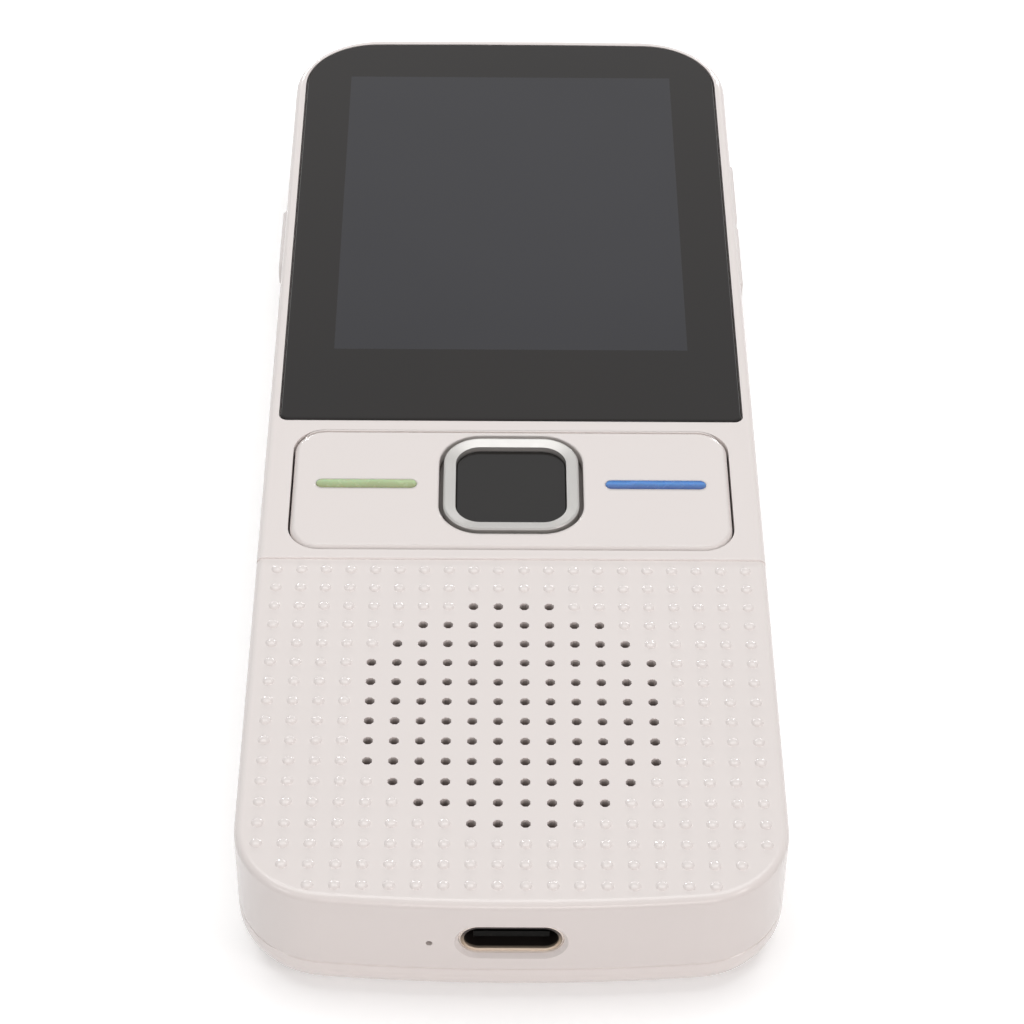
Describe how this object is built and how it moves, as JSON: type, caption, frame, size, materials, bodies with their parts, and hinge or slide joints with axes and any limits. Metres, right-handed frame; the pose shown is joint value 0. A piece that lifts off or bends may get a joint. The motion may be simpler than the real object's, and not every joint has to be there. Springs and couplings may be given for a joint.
{
  "type": "handheld voice translator",
  "caption": "Pocket voice translator: tall display under a cover glass, rocking key plate with light bars and square centre button, dotted speaker grille, side keys and USB-C port.",
  "frame": {"origin": "middle of the back face, which lies on the table", "axes": "+X to the right as the user sees it, +Y towards the display end, +Z out of the front face"},
  "size_m": [0.0508, 0.1312, 0.0131],
  "materials": {
    "shell_front": "satin, off-white",
    "shell_back": "satin, off-white",
    "key_white": "satin, off-white",
    "cover_glass": "polished, back-printed dark grey border",
    "display": "switched-off panel",
    "steel": "thin sheet, bright",
    "port_steel": "plated, warm tint",
    "bezel_metal": "satin silver",
    "cap_dark": "satin, dark grey",
    "dark_plastic": "moulded, matt",
    "light_plastic": "moulded, matt",
    "green_lens": "translucent green",
    "blue_lens": "translucent blue",
    "soft_rubber": "soft, matt",
    "foam": "black foam",
    "mesh": "fine woven acoustic mesh",
    "magnet": "plated",
    "film": "thin formed film",
    "flex": "amber polyimide",
    "board": "green solder mask",
    "cell_wrap": "silver laminate pouch"
  },
  "bodies": {
    "housing": {"front_shell": "shell_front", "back_cover": "shell_back", "cover_glass": "cover_glass", "glass_tape": "foam", "display_panel": "display", "backlight_tray": "steel", "display_flex": "flex", "display_connector": "dark_plastic", "rocker_pin": "steel", "main_board": "board", "port_board": "board", "board_screws": "steel", "usb_shell": "port_steel", "usb_tongue": "dark_plastic", "microphone": "steel", "microphone_boot": "soft_rubber", "grille_mesh": "mesh", "speaker_gasket": "foam", "speaker_frame": "dark_plastic", "speaker_magnet": "magnet", "speaker_diaphragm": "film", "speaker_pad": "foam", "battery": "cell_wrap", "battery_pad": "foam", "battery_plug": "light_plastic", "shield_can": "steel", "processor": "dark_plastic", "memory_chip": "dark_plastic", "power_switch": "dark_plastic", "volume_up_switch": "dark_plastic", "volume_down_switch": "dark_plastic", "left_key_dome": "steel", "centre_key_dome": "steel", "right_key_dome": "steel", "green_led": "light_plastic", "blue_led": "light_plastic", "link_flex": "flex", "port_link_connector": "dark_plastic", "main_link_connector": "dark_plastic", "antenna": "flex"},
    "key_plate": {"key_plate": "key_white", "green_light_bar": "green_lens", "blue_light_bar": "blue_lens"},
    "centre_button": {"button_bezel": "bezel_metal", "button_cap": "cap_dark", "button_carrier": "dark_plastic"},
    "power_button": {"power_button": "key_white"},
    "volume_rocker": {"volume_rocker": "key_white"}
  },
  "joints": [
    {"name": "key_plate_rock", "type": "hinge", "parent": "housing", "child": "key_plate", "pos_m": [0, -0.01255, 0.0099], "axis": [0, 1, 0], "range_deg": [-1.2, 1.2], "stiffness_Nm_per_rad": 0.6},
    {"name": "centre_button_press", "type": "slide", "parent": "housing", "child": "centre_button", "axis": [0, 0, -1], "range_m": [0, 0.0003], "stiffness_N_per_m": 4000},
    {"name": "power_button_press", "type": "slide", "parent": "housing", "child": "power_button", "axis": [1, 0, 0], "range_m": [0, 0.0003], "stiffness_N_per_m": 4000},
    {"name": "volume_rocker_rock", "type": "hinge", "parent": "housing", "child": "volume_rocker", "pos_m": [0.0225, 0.03675, 0.0067], "axis": [0, 0, 1], "range_deg": [-1.8, 1.8], "stiffness_Nm_per_rad": 0.3}
  ]
}
